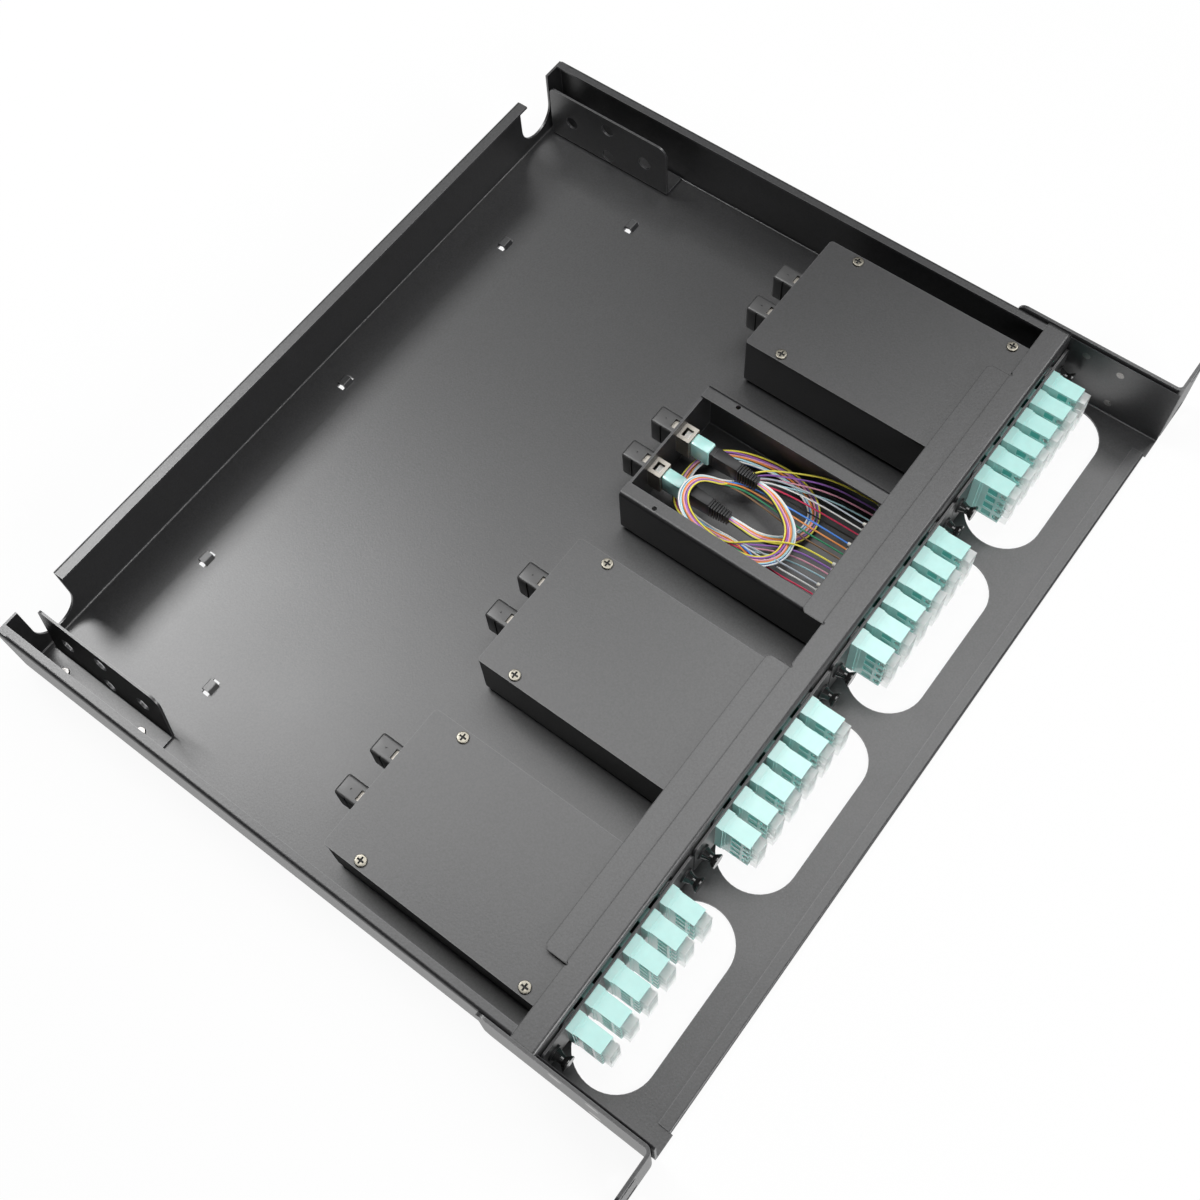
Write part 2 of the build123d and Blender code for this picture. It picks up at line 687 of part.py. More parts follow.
# Front adapters: four ports in a column, with a collar against the plate and latch windows
with BuildPart() as front_adapter:
    half_adapter = adapter_width / 2
    adapter_span_z = (adapter_middle - adapter_height / 2, adapter_middle + adapter_height / 2)
    block((-half_adapter, half_adapter), (adapter_front, plate_rear), adapter_span_z)
    half_rear = adapter_rear_width / 2
    block((-half_rear, half_rear), (plate_rear, adapter_rear), adapter_span_z)
    collar_bands = [(adapter_collar_depth, adapter_collar_step), (adapter_band_depth, adapter_band_step)]
    for band_depth, band_step in collar_bands:
        half_band = half_adapter + band_step
        band_z = (adapter_span_z[0] - band_step, adapter_span_z[1] + band_step)
        block((-half_band, half_band), (plate_front - band_depth, plate_front), band_z)
    with BuildSketch(Plane.XZ.offset(-adapter_front)):
        with Locations(*[(0, z) for z in row_centres]):
            Rectangle(port_width, port_height)
    extrude(amount=-port_depth, mode=Mode.SUBTRACT)
    with BuildSketch(Plane.YZ.offset(-half_adapter - overcut)):
        with Locations(*[(adapter_front, z) for z in row_centres]):
            SlotOverall(2 * latch_window_depth, latch_window_width)
    extrude(amount=half_adapter + overcut, mode=Mode.SUBTRACT)
    recess_y = (adapter_front + side_recess_span[0], adapter_front + side_recess_span[1])
    for z in row_centres:
        recess_z = (z - side_recess_height / 2, z + side_recess_height / 2)
        block((-half_adapter - overcut, -half_adapter + side_recess), recess_y, recess_z, Mode.SUBTRACT)

with BuildPart() as front_adapters:
    with Locations(*[(x, 0, 0) for x in column_centres]):
        add(front_adapter.part)

# Dust caps of the front ports: a stem in the port, a tab in its latch window and a wider head
with BuildPart() as front_caps:
    with BuildSketch(Plane.XZ.offset(-adapter_front)):
        with Locations(*[(x, z) for x in column_centres for z in row_centres]):
            Rectangle(port_width - 2 * port_cap_fit, port_height - 2 * port_cap_fit)
    extrude(amount=-port_cap_stem)
    with BuildSketch(Plane.XZ.offset(-adapter_front)):
        with Locations(*[(x, z) for x in column_centres for z in row_centres]):
            Rectangle(port_cap_width, port_cap_height)
    extrude(amount=port_cap_head)
    for x in column_centres:
        for z in row_centres:
            tab_z = (z - port_cap_tab_width / 2, z + port_cap_tab_width / 2)
            block((x - half_adapter, x), (adapter_front, adapter_front + port_cap_tab_depth), tab_z)

# Rear adapters: a sleeve through the rear wall, with a small flange outside and two windows inside
with BuildPart() as rear_adapters:
    flange_width = rear_adapter_width + 2 * rear_flange_step
    flange_height = rear_adapter_height + 2 * rear_flange_step
    for side in (-1, 1):
        x = side * rear_port_offset
        with BuildSketch(Plane.XZ.offset(-rear_adapter_front)):
            with Locations((x, rear_port_middle)):
                Rectangle(rear_adapter_width, rear_adapter_height)
        extrude(amount=rear_adapter_front - rear_adapter_end)
        with BuildSketch(Plane.XZ.offset(-case_rear)):
            with Locations((x, rear_port_middle)):
                Rectangle(flange_width, flange_height)
        extrude(amount=-rear_flange_thickness)
        with BuildSketch(Plane.XZ.offset(-rear_adapter_front)):
            with Locations((x, rear_port_middle)):
                Rectangle(rear_bore_width, rear_bore_height)
        extrude(amount=rear_adapter_front - rear_adapter_end, mode=Mode.SUBTRACT)
        window_x = (x - rear_window_width / 2, x + rear_window_width / 2)
        window_front = rear_adapter_front + rear_window_inset
        window_z = (rear_port_middle - rear_adapter_height, rear_port_middle + rear_adapter_height)
        block(window_x, (window_front, window_front + rear_window_length), window_z, Mode.SUBTRACT)

# Cap of a rear adapter, drawn at the middle of the frame
with BuildPart() as rear_cap:
    with BuildSketch(Plane.XZ.offset(-rear_adapter_end)):
        with Locations((0, rear_port_middle)):
            RectangleRounded(rear_cap_width, rear_cap_height, rear_cap_radius)
    extrude(amount=-rear_cap_length)
    with BuildSketch(Plane.XZ.offset(-rear_adapter_end)):
        with Locations((0, rear_port_middle)):
            Rectangle(rear_bore_width - 2 * rear_cap_fit, rear_bore_height - 2 * rear_cap_fit)
    extrude(amount=rear_cap_stem)
    groove_y = rear_adapter_end + rear_cap_length / 3
    groove_z = (rear_port_middle - rear_cap_height, rear_port_middle + rear_cap_height)
    for side in (-1, 1):
        groove_x = sorted((side * (rear_cap_width / 2 - rear_cap_groove), side * rear_cap_width))
        block(groove_x, (groove_y, groove_y + 2 * rear_cap_groove), groove_z, Mode.SUBTRACT)

# Fibre plugs: two trunk plugs with boots at the rear, and one small plug behind each front port
with BuildPart() as fibre_plugs:
    for side in (-1, 1):
        x = side * rear_port_offset
        plug_x = (x - trunk_plug_width / 2, x + trunk_plug_width / 2)
        plug_z = (rear_port_middle - trunk_plug_height / 2, rear_port_middle + trunk_plug_height / 2)
        block(plug_x, (trunk_plug_front, rear_adapter_front + trunk_plug_reach), plug_z)
        body_x = (x - trunk_body_width / 2, x + trunk_body_width / 2)
        body_z = (rear_port_middle - trunk_body_height / 2, rear_port_middle + trunk_body_height / 2)
        block(body_x, (trunk_body_front, trunk_plug_front), body_z)
        with BuildSketch(Plane.XZ.offset(-trunk_body_front)):
            with Locations((x, rear_port_middle)):
                Rectangle(trunk_boot_width, trunk_boot_height)
        extrude(amount=trunk_boot_length, taper=trunk_boot_taper)
        rib_pitch = trunk_boot_length / boot_ribs
        for rib in range(boot_ribs):
            narrowing = 2 * rib * rib_pitch * math.tan(math.radians(trunk_boot_taper))
            rib_width = trunk_boot_width + 2 * boot_rib_height - narrowing
            rib_depth = trunk_boot_height + 2 * boot_rib_height - narrowing
            rib_rear = trunk_body_front - rib * rib_pitch
            rib_x = (x - rib_width / 2, x + rib_width / 2)
            rib_z = (rear_port_middle - rib_depth / 2, rear_port_middle + rib_depth / 2)
            block(rib_x, (rib_rear - boot_rib_thickness, rib_rear), rib_z)
    plug_places = [(x, z) for x in column_centres for z in row_centres]
    with BuildSketch(Plane.XZ.offset(-adapter_rear)):
        with Locations(*plug_places):
            Rectangle(small_plug_width, small_plug_width)
    extrude(amount=-small_plug_length)
    with BuildSketch(Plane.XZ.offset(-adapter_rear - small_plug_length)):
        with Locations(*plug_places):
            Rectangle(small_boot_width, small_boot_width)
    extrude(amount=-small_boot_length)


def bend_radii(route):
    """The largest radius that the runs beside each corner of a route allow."""
    radii = []
    for before, corner, after in zip(route, route[1:], route[2:]):
        turn = (corner - before).get_angle(after - corner)
        shorter_run = min((corner - before).length, (after - corner).length)
        radii.append(bend_share * shorter_run / math.tan(math.radians(turn / 2)))
    return radii


def fibre_tube(route, radius):
    """A tube of straight runs and tangent arcs along a route."""
    radii = bend_radii(route)
    print("tube of radius", radius, "smallest bend radius", round(min(radii), 1))
    with BuildLine():
        path = FilletPolyline(*route, radius=radii)
    with BuildSketch(Plane(origin=path @ 0, z_dir=path % 0)) as section:
        Circle(radius)
    sweep(section.sketch, path=path)


def harness_side(side, bundle_points, leg_points, leg_row):
    """One trunk bundle from its boot round the case, and the legs that leave its end."""
    boot_end = Vector(side * rear_port_offset, trunk_boot_front, rear_port_middle)
    route = [boot_end] + [Vector(x, front + y, z) for x, y, z in bundle_points]
    fibre_tube(route, bundle_radius)
    bundle_end = route[-1]
    heading = (bundle_end - route[-2]).normalized()
    columns = column_centres[port_columns // 2:] if side > 0 else column_centres[:port_columns // 2]
    for lane, (column, points) in enumerate(zip(columns, leg_points)):
        rise = (1 - lane) * side * leg_spacing
        start = bundle_end + Vector(0, 0, rise)
        end = Vector(column, small_plug_rear, row_centres[leg_row])
        middle = [Vector(x, front + y, z) for x, y, z in points]
        plug_run = [end + Vector(0, leg_straight, 0), end]
        fibre_tube([start, start + heading * leg_stub] + middle + plug_run, leg_radius)


# Fibre harness: each leg stands for the four fibres of one column
with BuildPart() as fibres:
    harness_side(1, right_bundle_points, right_leg_points, right_leg_row)
    harness_side(-1, left_bundle_points, left_leg_points, left_leg_row)

cassette_pieces = {
    "case": case,
    "front_adapters": front_adapters,
    "front_port_caps": front_caps,
    "latch_sleeves": latch_sleeves,
    "rear_adapters": rear_adapters,
    "fibre_plugs": fibre_plugs,
    "fibre_harness": fibres,
}
lid_pieces = {"lid": lid, "lid_screws": lid_screws}
moving_pairs = {
    "latch": (plunger, latch_offset, latch_height),
    "rear_cap": (rear_cap, rear_port_offset, 0),
}

for bay, bay_x in enumerate(bay_centres):
    pieces = dict(cassette_pieces)
    if bay != open_bay:
        pieces.update(lid_pieces)
    for name, piece in pieces.items():
        with BuildPart() as placed:
            with Locations((bay_x, 0, 0)):
                add(piece.part)
        save(placed.part, f"cassette_{bay + 1}_{name}")
    for name, (piece, offset_x, height) in moving_pairs.items():
        for side_name, side in (("left", -1), ("right", 1)):
            with BuildPart() as placed:
                with Locations((bay_x + side * offset_x, 0, height)):
                    add(piece.part)
            save(placed.part, f"cassette_{bay + 1}_{name}_{side_name}")
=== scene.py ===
import math

import bpy
from mathutils import Matrix, Vector


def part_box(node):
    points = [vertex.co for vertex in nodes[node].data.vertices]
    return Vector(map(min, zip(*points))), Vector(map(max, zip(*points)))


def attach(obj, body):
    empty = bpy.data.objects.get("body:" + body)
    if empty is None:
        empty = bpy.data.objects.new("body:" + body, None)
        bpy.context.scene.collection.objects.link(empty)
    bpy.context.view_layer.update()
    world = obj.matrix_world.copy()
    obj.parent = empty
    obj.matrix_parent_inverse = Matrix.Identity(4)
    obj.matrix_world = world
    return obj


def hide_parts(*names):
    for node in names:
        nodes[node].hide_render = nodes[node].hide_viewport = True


# The looks of a 1U fibre distribution frame with four cassettes, in metres.
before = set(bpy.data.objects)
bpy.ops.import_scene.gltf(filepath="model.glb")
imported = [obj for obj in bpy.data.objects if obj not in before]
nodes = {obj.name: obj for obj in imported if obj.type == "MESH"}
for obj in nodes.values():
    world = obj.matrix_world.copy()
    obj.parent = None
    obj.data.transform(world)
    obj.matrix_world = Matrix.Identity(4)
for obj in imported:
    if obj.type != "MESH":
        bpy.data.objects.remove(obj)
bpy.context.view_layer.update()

MM = 0.001
CASSETTES = (1, 2, 3, 4)
OPEN_CASSETTE = 3
COLUMNS = 6
ROWS = 4
MIDDLE_COLUMN = 2.5
MIDDLE_ROW = 1.5

# Places shared with the CAD, in millimetres. Y values of plugs and fibres count from the front edge.
FRONT_EDGE = -190.0
BOOT_END_Y = 142.5
BOOT_END_Z = 22.5
REAR_PORT_OFFSET = 12.0
SMALL_BOOT_END_Y = 88.0
COLUMN_PITCH = 13.13
ROW_PITCH = 6.35
ROW_MIDDLE = 19.6


# Camera and studio

CAMERA_PLACE = Vector((-0.26074, -0.23244, 0.67332))
CAMERA_RIGHT = Vector((0.60266, -0.79681, -0.04349))
CAMERA_LOOK = Vector((0.31947, 0.29085, -0.90186))
CAMERA_LENS = 45.69
PANEL_HEIGHT = 1.2
PANEL_SIZE = (0.45, 0.5)
FLOOR_WHITENESS = 0.93


def camera():
    """A camera at the photograph's place and angle."""
    lens = bpy.data.cameras.new("camera")
    lens.lens = CAMERA_LENS
    lens.sensor_width = 36
    lens.clip_start = 0.01
    lens.clip_end = 20
    holder = bpy.data.objects.new("camera", lens)
    bpy.context.scene.collection.objects.link(holder)
    up = CAMERA_RIGHT.cross(CAMERA_LOOK)
    turn = Matrix((CAMERA_RIGHT, up, -CAMERA_LOOK)).transposed().to_4x4()
    holder.matrix_world = Matrix.Translation(CAMERA_PLACE) @ turn
    bpy.context.scene.camera = holder


def soft_light(name, place, aim, width, height, power):
    """A rectangular softbox that points at a place."""
    lamp = bpy.data.lights.new(name, "AREA")
    lamp.shape = "RECTANGLE"
    lamp.size = width
    lamp.size_y = height
    lamp.energy = power
    holder = bpy.data.objects.new(name, lamp)
    bpy.context.scene.collection.objects.link(holder)
    place = Vector(place)
    holder.location = place
    holder.rotation_mode = "QUATERNION"
    holder.rotation_quaternion = (Vector(aim) - place).to_track_quat("-Z", "Y")


def ceiling_panel(name, x, y, power):
    """One panel of the light ceiling, which faces straight down."""
    soft_light(name, (x, y, PANEL_HEIGHT), (x, y + MM, 0), *PANEL_SIZE, power)


def white_where_seen(tree, shader, whiteness):
    """Mix a share of plain white into a shader for rays that see, mirror or pass to the background."""
    path = tree.nodes.new("ShaderNodeLightPath")
    seen = tree.nodes.new("ShaderNodeMath")
    seen.operation = "MAXIMUM"
    mirrored = tree.nodes.new("ShaderNodeMath")
    mirrored.operation = "MAXIMUM"
    tree.links.new(path.outputs["Is Glossy Ray"], mirrored.inputs[0])
    tree.links.new(path.outputs["Is Transmission Ray"], mirrored.inputs[1])
    tree.links.new(path.outputs["Is Camera Ray"], seen.inputs[0])
    tree.links.new(mirrored.outputs[0], seen.inputs[1])
    share = tree.nodes.new("ShaderNodeMath")
    share.operation = "MULTIPLY"
    share.inputs[1].default_value = whiteness
    tree.links.new(seen.outputs[0], share.inputs[0])
    white = tree.nodes.new("ShaderNodeEmission")
    mix = tree.nodes.new("ShaderNodeMixShader")
    tree.links.new(share.outputs[0], mix.inputs[0])
    tree.links.new(shader, mix.inputs[1])
    tree.links.new(white.outputs[0], mix.inputs[2])
    return mix.outputs[0]


def studio():
    """A white floor that keeps a faint shadow, a pale world and soft lights from above."""
    world = bpy.data.worlds.new("studio")
    bpy.context.scene.world = world
    world.use_nodes = True
    tree = world.node_tree
    backdrop = tree.nodes["Background"]
    backdrop.inputs["Color"].default_value = (0.80, 0.81, 0.83, 1)
    backdrop.inputs["Strength"].default_value = 0.05
    seen_white = tree.nodes.new("ShaderNodeBackground")
    seen_white.inputs["Color"].default_value = (1, 1, 1, 1)
    path = tree.nodes.new("ShaderNodeLightPath")
    mix = tree.nodes.new("ShaderNodeMixShader")
    tree.links.new(path.outputs["Is Camera Ray"], mix.inputs[0])
    tree.links.new(backdrop.outputs[0], mix.inputs[1])
    tree.links.new(seen_white.outputs[0], mix.inputs[2])
    tree.links.new(mix.outputs[0], tree.nodes["World Output"].inputs["Surface"])

    bpy.ops.object.select_all(action="DESELECT")
    bpy.ops.mesh.primitive_plane_add(size=8, location=(0, 0, -0.5 * MM))
    floor = bpy.context.object
    floor.name = "studio_floor"
    paint = bpy.data.materials.new("studio_floor")
    paint.use_nodes = True
    tree = paint.node_tree
    shader = tree.nodes["Principled BSDF"]
    shader.inputs["Base Color"].default_value = (0.9, 0.9, 0.9, 1)
    shader.inputs["Roughness"].default_value = 0.9
    mixed = white_where_seen(tree, shader.outputs[0], FLOOR_WHITENESS)
    tree.links.new(mixed, tree.nodes["Material Output"].inputs["Surface"])
    floor.data.materials.append(paint)

    ceiling_panel("front_left_panel", 0.0, -0.05, 1.4)
    ceiling_panel("middle_left_panel", 0.0, 0.45, 2.1)
    ceiling_panel("rear_left_panel", 0.0, 0.95, 10.0)
    ceiling_panel("front_middle_panel", 0.45, -0.05, 2.8)
    ceiling_panel("middle_panel", 0.45, 0.45, 0.5)
    ceiling_panel("front_right_panel", 1.0, -0.35, 4.8)
    ceiling_panel("rear_right_panel", 0.9, 0.95, 1.3)
    soft_light("front_softbox", (-0.3, -1.2, 0.7), (0, 0, 0), 1.0, 0.5, 12)


# Materials

# The middle range of a noise texture, and how well a rounded normal agrees with a flat one off and on an edge
NOISE_LOW = 0.3
NOISE_HIGH = 0.7
FLAT_MATCH = 0.98
EDGE_MATCH = 0.80


def material(name, colour, roughness, metallic=0.0):
    """A material with its shader's plain values set, and the tree to build on."""
    paint = bpy.data.materials.new(name)
    paint.use_nodes = True
    shader = paint.node_tree.nodes["Principled BSDF"]
    shader.inputs["Base Color"].default_value = (*colour, 1)
    shader.inputs["Roughness"].default_value = roughness
    shader.inputs["Metallic"].default_value = metallic
    return paint, paint.node_tree, shader


def noise(tree, size_mm, detail=2.0):
    """Noise in the object's own coordinates with features of about the given size."""
    place = tree.nodes.new("ShaderNodeTexCoord")
    texture = tree.nodes.new("ShaderNodeTexNoise")
    texture.inputs["Scale"].default_value = 1000 / size_mm
    texture.inputs["Detail"].default_value = detail
    tree.links.new(place.outputs["Object"], texture.inputs["Vector"])
    return texture.outputs["Fac"]


def spread(tree, value, low, high):
    """Map noise from its middle range to a range of values."""
    ramp = tree.nodes.new("ShaderNodeMapRange")
    ramp.inputs["From Min"].default_value = NOISE_LOW
    ramp.inputs["From Max"].default_value = NOISE_HIGH
    ramp.inputs["To Min"].default_value = low
    ramp.inputs["To Max"].default_value = high
    tree.links.new(value, ramp.inputs["Value"])
    return ramp.outputs["Result"]


def tinted(tree, shader, value, dark, light):
    """Let noise move the base colour between two tones."""
    mix = tree.nodes.new("ShaderNodeMix")
    mix.data_type = "RGBA"
    mix.inputs["A"].default_value = (*dark, 1)
    mix.inputs["B"].default_value = (*light, 1)
    tree.links.new(spread(tree, value, 0, 1), mix.inputs["Factor"])
    tree.links.new(mix.outputs["Result"], shader.inputs["Base Color"])


def grained(tree, shader, value, depth_mm, strength):
    """Raise a grain on the surface."""
    bump = tree.nodes.new("ShaderNodeBump")
    bump.inputs["Distance"].default_value = depth_mm * MM
    bump.inputs["Strength"].default_value = strength
    tree.links.new(value, bump.inputs["Height"])
    tree.links.new(bump.outputs["Normal"], shader.inputs["Normal"])


def edge_wear_and_painted_light_mask(tree, radius_mm):
    """A mask that is one on the sharp edges of sheet metal and zero on its flats, for edge wear and for
    painted highlights and shadows on the edges.
    """
    rounded = tree.nodes.new("ShaderNodeBevel")
    rounded.samples = 3
    rounded.inputs["Radius"].default_value = radius_mm * MM
    flat = tree.nodes.new("ShaderNodeNewGeometry")
    turn = tree.nodes.new("ShaderNodeVectorMath")
    turn.operation = "DOT_PRODUCT"
    tree.links.new(rounded.outputs["Normal"], turn.inputs[0])
    tree.links.new(flat.outputs["Normal"], turn.inputs[1])
    mask = tree.nodes.new("ShaderNodeMapRange")
    mask.inputs["From Min"].default_value = FLAT_MATCH
    mask.inputs["From Max"].default_value = EDGE_MATCH
    tree.links.new(turn.outputs["Value"], mask.inputs["Value"])
    return mask.outputs["Result"]


def powder_coat(name, tone, roughness, edge_tone=0.11, edge_roughness=0.4, edge_mm=0.6):
    """Black powder coat: fine orange peel and speckle, a broad sheen, and its own tone on the edges, where a
    pale tone is partly worn coat and partly a painted highlight and a near-black tone is painted shadow.
    """
    paint, tree, shader = material(name, (tone, tone, tone * 1.05), roughness)
    shader.inputs["IOR"].default_value = 1.7
    shader.inputs["Specular IOR Level"].default_value = 0.78
    dark = (tone * 0.2,) * 3
    light = (tone * 2.1, tone * 2.1, tone * 2.3)
    tinted(tree, shader, noise(tree, 0.9, 4), dark, light)
    speckled = shader.inputs["Base Color"].links[0].from_socket
    # The edge tone: pale is partly worn coat and partly a painted highlight, near-black is painted shadow
    # along the edges.
    edge_wear_and_painted_light_tone = tree.nodes.new("ShaderNodeMix")
    edge_wear_and_painted_light_tone.data_type = "RGBA"
    edge_wear_and_painted_light_tone.inputs["B"].default_value = (edge_tone, edge_tone, edge_tone * 1.05, 1)
    edges = edge_wear_and_painted_light_mask(tree, edge_mm)
    tree.links.new(edges, edge_wear_and_painted_light_tone.inputs["Factor"])
    tree.links.new(speckled, edge_wear_and_painted_light_tone.inputs["A"])
    tree.links.new(edge_wear_and_painted_light_tone.outputs["Result"], shader.inputs["Base Color"])
    gloss = spread(tree, noise(tree, 60, 2), roughness - 0.008, roughness + 0.008)
    edge_gloss = tree.nodes.new("ShaderNodeMix")
    edge_gloss.inputs["B"].default_value = edge_roughness
    tree.links.new(edges, edge_gloss.inputs["Factor"])
    tree.links.new(gloss, edge_gloss.inputs["A"])
    tree.links.new(edge_gloss.outputs["Result"], shader.inputs["Roughness"])
    grained(tree, shader, noise(tree, 1.1, 4), 0.09, 0.5)
    return paint


def moulded(name, colour, roughness, glow=0.0, sheen=0.5):
    """Moulded plastic with a faint mottle and a soft surface."""
    paint, tree, shader = material(name, colour, roughness)
    shader.inputs["Specular IOR Level"].default_value = sheen
    darker = tuple(part * 0.97 for part in colour)
    lighter = tuple(min(1, part * 1.02) for part in colour)
    tinted(tree, shader, noise(tree, 4, 3), darker, lighter)
    grained(tree, shader, noise(tree, 0.3, 2), 0.02, 0.2)
    if glow:
        shader.inputs["Subsurface Weight"].default_value = glow
        shader.inputs["Subsurface Radius"].default_value = (0.002, 0.004, 0.004)
    return paint


def frosted(name, colour):
    """Translucent plastic of the dust caps."""
    paint, tree, shader = material(name, colour, 0.35)
    darker = tuple(part * 0.97 for part in colour)
    tinted(tree, shader, noise(tree, 3, 2), darker, colour)
    shader.inputs["Transmission Weight"].default_value = 0.85
    shader.inputs["IOR"].default_value = 1.1
    return paint


def bare_metal(name, colour, roughness):
    """Plated or brushed metal with fine wear in its gloss."""
    paint, tree, shader = material(name, colour, roughness, 1.0)
    darker = tuple(part * 0.9 for part in colour)
    tinted(tree, shader, noise(tree, 2, 2), darker, colour)
    gloss = spread(tree, noise(tree, 0.8, 3), roughness - 0.06, roughness + 0.08)
    tree.links.new(gloss, shader.inputs["Roughness"])
    grained(tree, shader, noise(tree, 0.5, 2), 0.01, 0.15)
    return paint


FIBRE_COLOURS = {
    "blue": (0.08, 0.28, 0.85),
    "orange": (0.95, 0.34, 0.07),
    "green": (0.03, 0.34, 0.15),
    "brown": (0.30, 0.17, 0.08),
    "slate": (0.50, 0.55, 0.60),
    "white": (0.92, 0.92, 0.90),
    "red": (0.78, 0.06, 0.14),
    "black": (0.03, 0.03, 0.03),
    "yellow": (0.94, 0.86, 0.11),
    "violet": (0.38, 0.17, 0.60),
    "rose": (0.91, 0.44, 0.57),
    "aqua": (0.54, 0.85, 0.93),
}

# The chassis and the cassettes get pale edges, which are partly worn coat and partly a painted highlight
# along the folds and edges.
chassis_paint = powder_coat("chassis_powder_coat", 0.010, 0.40)
# The crossbar's near-black edges are painted shadow: dark lines along its folds and tab edges in place of
# contact shadow.
crossbar_paint = powder_coat("crossbar_powder_coat", 0.010, 0.40, edge_tone=0.002, edge_roughness=1.0,
                             edge_mm=0.9)
cassette_paint = powder_coat("cassette_powder_coat", 0.009, 0.41)
aqua_plastic = moulded("aqua_adapter_plastic", (0.48, 0.79, 0.75), 0.22, glow=0.5, sheen=1.0)
# A darker aqua that is painted shade, for the faces inside the adapters' latch windows and recesses.
painted_shade_aqua = moulded("aqua_painted_recess_shade", (0.10, 0.50, 0.44), 0.3, glow=0.1)
black_plastic = moulded("black_plug_plastic", (0.020, 0.020, 0.021), 0.42)
latch_plastic = moulded("black_latch_plastic", (0.014, 0.014, 0.014), 0.16, sheen=1.0)
cap_rubber = moulded("black_cap_rubber", (0.05, 0.05, 0.05), 0.42, sheen=1.0)
cream_plastic = moulded("cream_plug_plastic", (0.80, 0.78, 0.72), 0.4, glow=0.1)
white_plastic = moulded("white_plug_plastic", (0.85, 0.84, 0.80), 0.3, glow=0.1)
clear_cap = frosted("clear_dust_cap", (0.98, 0.99, 0.985))
nickel = bare_metal("nickel_plate", (0.34, 0.32, 0.27), 0.36)
clip_metal = bare_metal("adapter_clip_metal", (0.52, 0.49, 0.44), 0.45)
# Near-black that is painted shade inside the screws' cross recesses.
painted_recess_shadow = moulded("painted_recess_shadow", (0.012, 0.012, 0.012), 0.6)
dark_zinc = bare_metal("dark_zinc", (0.32, 0.31, 0.30), 0.32)
fibre_jackets = {
    name: moulded(f"{name}_fibre_jacket", colour, 0.35) for name, colour in FIBRE_COLOURS.items()
}


def paint_node(name, paint):
    """Give a CAD node one finish."""
    node = nodes[name]
    node.data.materials.clear()
    node.data.materials.append(paint)


def paint_frame():
    """Finish every CAD node."""
    for name in ("base_tray", "rack_ear_left", "rack_ear_right", "cable_bracket_left", "cable_bracket_right"):
        paint_node(name, chassis_paint)
    paint_node("front_crossbar", crossbar_paint)
    paint_node("ear_screws", dark_zinc)
    paint_node("bracket_rivets", dark_zinc)
    finishes = {
        "case": cassette_paint, "lid": cassette_paint, "lid_screws": nickel,
        "front_adapters": aqua_plastic, "front_port_caps": clear_cap, "latch_sleeves": black_plastic,
        "rear_adapters": clip_metal, "fibre_plugs": black_plastic, "fibre_harness": fibre_jackets["aqua"],
        "latch_left": latch_plastic, "latch_right": latch_plastic,
        "rear_cap_left": cap_rubber, "rear_cap_right": cap_rubber,
    }
    for number in CASSETTES:
        for piece, paint in finishes.items():
            name = f"cassette_{number}_{piece}"
            if name in nodes:
                paint_node(name, paint)


# Faces this near to a column's middle, and this far from the top, bottom and front, lie in a recess and get a
# darker aqua as painted shade
RECESS_HALF_WIDTH = 4.15 * MM
RECESS_TOP_MARGIN = 0.9 * MM
RECESS_FRONT_MARGIN = 0.3 * MM


def paint_recess_shade():
    """Painted shade: a deeper, darker aqua inside the latch windows and side recesses of the front adapters.
    """
    for number in CASSETTES:
        node = nodes[f"cassette_{number}_front_adapters"]
        node.data.materials.append(painted_shade_aqua)
        middle = case_middle(number)
        low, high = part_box(node.name)
        for face in node.data.polygons:
            place = face.center
            column = (place.x - middle) / (COLUMN_PITCH * MM) + MIDDLE_COLUMN
            aside = abs(column - round(column)) * COLUMN_PITCH * MM
            between = low.z + RECESS_TOP_MARGIN < place.z < high.z - RECESS_TOP_MARGIN
            behind_front = place.y > low.y + RECESS_FRONT_MARGIN
            if between and behind_front and aside < RECESS_HALF_WIDTH:
                face.material_index = 1


# Modelling

SHARP_ANGLE = math.radians(30)


def begin():
    """Leave edit mode and select nothing, so that an operator meets only new work."""
    if bpy.context.object and bpy.context.object.mode != "OBJECT":
        bpy.ops.object.mode_set(mode="OBJECT")
    bpy.ops.object.select_all(action="DESELECT")


def settle(piece):
    """Put a piece's place, turn and size into its mesh."""
    begin()
    piece.select_set(True)
    bpy.context.view_layer.objects.active = piece
    bpy.ops.object.transform_apply(location=True, rotation=True, scale=True)
    return piece


def new_block(name, low, high):
    """A block between two corners."""
    begin()
    low, high = Vector(low), Vector(high)
    bpy.ops.mesh.primitive_cube_add(size=1, location=(low + high) / 2)
    piece = bpy.context.object
    piece.name = name
    piece.scale = high - low
    return settle(piece)


def new_rod(name, start, radius, length, axis="Z", sides=32):
    """A round rod from its start towards the rear (Y) or up (Z)."""
    begin()
    turns = {"Y": (-math.pi / 2, 0, 0), "Z": (0, 0, 0)}
    along = {"Y": Vector((0, 1, 0)), "Z": Vector((0, 0, 1))}[axis]
    middle = Vector(start) + along * length / 2
    bpy.ops.mesh.primitive_cylinder_add(vertices=sides, radius=radius, depth=length, location=middle,
                                        rotation=turns[axis])
    piece = bpy.context.object
    piece.name = name
    return settle(piece)


def finish_with(piece, kind, **values):
    """Add a modifier with its values and apply it."""
    begin()
    bpy.context.view_layer.objects.active = piece
    modifier = piece.modifiers.new(kind, kind)
    for key, value in values.items():
        setattr(modifier, key, value)
    bpy.ops.object.modifier_apply(modifier=modifier.name)
    return piece


def round_edges(piece, width, segments):
    """Round every sharp edge."""
    return finish_with(piece, "BEVEL", width=width, segments=segments, limit_method="ANGLE",
                       angle_limit=SHARP_ANGLE)


